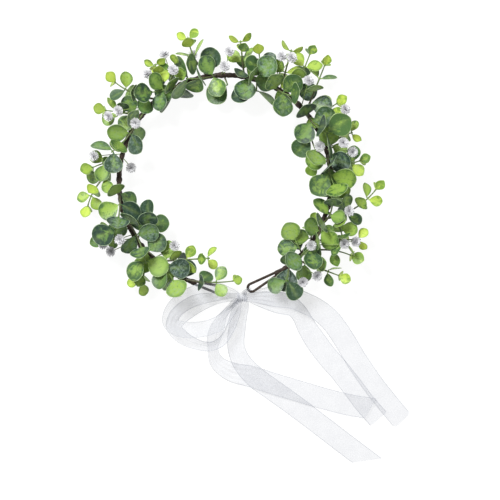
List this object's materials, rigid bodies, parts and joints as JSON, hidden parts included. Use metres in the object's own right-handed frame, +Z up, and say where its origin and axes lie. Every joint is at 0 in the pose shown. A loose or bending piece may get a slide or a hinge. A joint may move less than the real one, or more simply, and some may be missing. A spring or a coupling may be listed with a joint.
{
  "type": "flower crown",
  "caption": "Leafy wire headband crown: a taped wire ring open at the back, covered in artificial eucalyptus sprigs and small white flowers, tied with a sheer ribbon bow.",
  "frame": {"origin": "middle of the head opening, on the surface the crown lies on", "axes": "+Z up along the head opening's axis, +Y to the front of the crown, -Y to its open back with the bow and ribbon tails"},
  "size_m": [0.2933, 0.3802, 0.0526],
  "materials": {
    "wire": "dull",
    "taped_wire": "waxed paper tape",
    "paper_tape": "waxed paper tape",
    "tape_lashing": "waxed paper tape",
    "leaf": "satin, dusty bloom",
    "leaf_tip": "satin",
    "stem": "satin",
    "flower_stem": "satin",
    "flower": "matte",
    "ribbon": "sheer organza"
  },
  "bodies": {
    "ring_left": {"ring_wire_left": "wire", "ring_wrap_left": "paper_tape", "end_loop_left": "taped_wire", "tape_bands_left": "tape_lashing", "stems_left": "stem", "flower_stems_left": "flower_stem", "flower_heads_left": "flower", "bunch_12_leaves": "leaf", "bunch_13_leaves": "leaf", "bunch_15_leaves": "leaf", "bunch_17_leaves": "leaf", "bunch_18_leaves": "leaf", "bunch_19_leaves": "leaf", "bunch_14_leaves": "leaf", "bunch_16_leaves": "leaf"},
    "ring_right": {"ring_wire_right": "wire", "ring_wrap_right": "paper_tape", "end_loop_right": "taped_wire", "tape_bands_right": "tape_lashing", "bow_knot": "ribbon", "ribbon_hitch": "ribbon", "ribbon_gather": "ribbon", "stems_right": "stem", "flower_stems_right": "flower_stem", "flower_heads_right": "flower", "bunch_05_leaves": "leaf", "bunch_02_leaves": "leaf", "bunch_01_leaves": "leaf", "bunch_07_leaves": "leaf", "bunch_10_leaves": "leaf", "bunch_03_leaves": "leaf", "bunch_04_leaves": "leaf", "bunch_06_leaves": "leaf", "bunch_08_leaves": "leaf", "bunch_09_leaves": "leaf", "bunch_11_leaves": "leaf"},
    "bow": {"bow_loop_upper": "ribbon", "bow_loop_lower": "ribbon"},
    "tails": {"ribbon_tail_1": "ribbon", "ribbon_tail_2": "ribbon", "ribbon_tail_3": "ribbon", "ribbon_tail_4": "ribbon"},
    "sprig_15_tip": {"sprig_15_tip_stem": "stem", "sprig_15_tip_leaves": "leaf_tip"},
    "sprig_16_tip": {"sprig_16_tip_stem": "stem", "sprig_16_tip_leaves": "leaf_tip"},
    "sprig_24_tip": {"sprig_24_tip_stem": "stem", "sprig_24_tip_leaves": "leaf_tip"},
    "sprig_30_tip": {"sprig_30_tip_stem": "stem", "sprig_30_tip_leaves": "leaf_tip"},
    "sprig_32_tip": {"sprig_32_tip_stem": "stem", "sprig_32_tip_leaves": "leaf_tip"},
    "sprig_37_tip": {"sprig_37_tip_stem": "stem", "sprig_37_tip_leaves": "leaf_tip"},
    "sprig_40_tip": {"sprig_40_tip_stem": "stem", "sprig_40_tip_leaves": "leaf_tip"},
    "sprig_43_tip": {"sprig_43_tip_stem": "stem", "sprig_43_tip_leaves": "leaf_tip"}
  },
  "joints": [
    {"name": "ring_opening", "type": "hinge", "parent": "ring_left", "child": "ring_right", "pos_m": [0.00967, 0.09199, 0.017], "axis": [0, 0, 1], "range_deg": [-1, 8], "stiffness_Nm_per_rad": 0.6},
    {"name": "tails_hang", "type": "hinge", "parent": "ring_right", "child": "tails", "pos_m": [0.0148, -0.1015, 0.013], "axis": [1, 0, 0], "range_deg": [0, 90]},
    {"name": "bow_hang", "type": "hinge", "parent": "ring_right", "child": "bow", "pos_m": [0.0148, -0.1015, 0.013], "axis": [1, 0, 0], "range_deg": [0, 54]},
    {"name": "sprig_15_bend", "type": "hinge", "parent": "ring_right", "child": "sprig_15_tip", "pos_m": [0.01497, 0.10684, 0.02847], "axis": [0.9942, 0.1077, 0], "range_deg": [-10, 25]},
    {"name": "sprig_16_bend", "type": "hinge", "parent": "ring_right", "child": "sprig_16_tip", "pos_m": [0.05359, 0.09836, 0.02537], "axis": [0.964, -0.2657, 0], "range_deg": [-10, 25]},
    {"name": "sprig_24_bend", "type": "hinge", "parent": "ring_right", "child": "sprig_24_tip", "pos_m": [0.11972, -0.01903, 0.02523], "axis": [0.6226, -0.7826, 0], "range_deg": [-10, 25]},
    {"name": "sprig_30_bend", "type": "hinge", "parent": "ring_right", "child": "sprig_30_tip", "pos_m": [0.08489, -0.07713, 0.019], "axis": [-0.3491, -0.9371, 0], "range_deg": [-10, 25]},
    {"name": "sprig_32_bend", "type": "hinge", "parent": "ring_left", "child": "sprig_32_tip", "pos_m": [-0.02856, 0.11104, 0.02943], "axis": [0.9346, 0.3556, 0], "range_deg": [-10, 25]},
    {"name": "sprig_37_bend", "type": "hinge", "parent": "ring_left", "child": "sprig_37_tip", "pos_m": [-0.08144, 0.07652, 0.02591], "axis": [0.4179, 0.9085, 0], "range_deg": [-10, 25]},
    {"name": "sprig_40_bend", "type": "hinge", "parent": "ring_left", "child": "sprig_40_tip", "pos_m": [-0.11403, -0.00928, 0.02257], "axis": [-0.8718, 0.4898, 0], "range_deg": [-10, 25]},
    {"name": "sprig_43_bend", "type": "hinge", "parent": "ring_left", "child": "sprig_43_tip", "pos_m": [-0.07034, -0.07893, 0.01809], "axis": [-0.9784, 0.2065, 0], "range_deg": [-10, 25]}
  ],
  "couplings": [
    {"joint": "bow_hang", "follows": "tails_hang", "ratio": 0.6}
  ]
}
